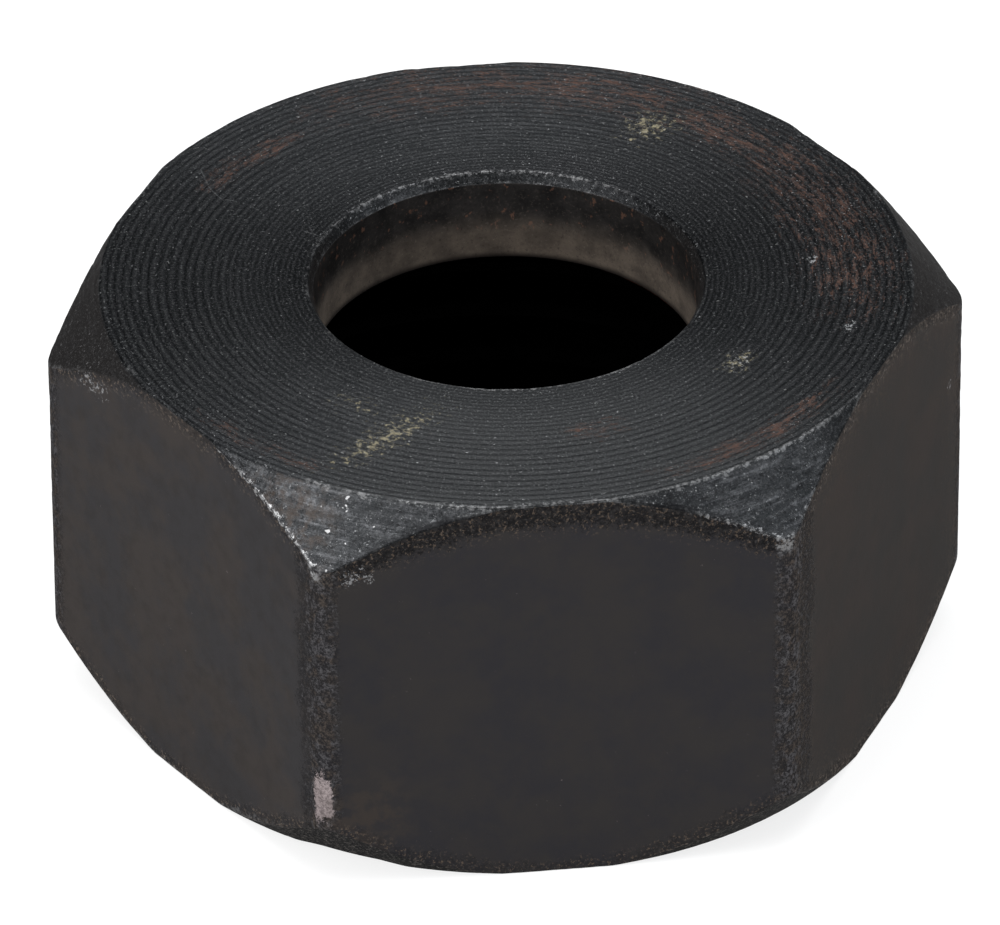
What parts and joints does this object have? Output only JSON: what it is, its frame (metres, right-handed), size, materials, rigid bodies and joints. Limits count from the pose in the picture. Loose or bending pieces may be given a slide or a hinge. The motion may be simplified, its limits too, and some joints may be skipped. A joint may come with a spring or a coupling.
{
  "type": "hexagon nut",
  "caption": "Blackened steel hexagon nut with chamfered corners, a plain neck bore through its closed end and a wider internal thread.",
  "frame": {"origin": "centre of the open, threaded end face", "axes": "+Z along the bore axis towards the closed end, one flat facing -Y"},
  "size_m": [0.0252, 0.022, 0.012],
  "materials": {
    "blackened_steel": "black oxide over turned and drawn steel, worn bright on the edges, with small rust marks"
  },
  "bodies": {
    "root": {"hex_nut": "blackened_steel"}
  },
  "joints": []
}
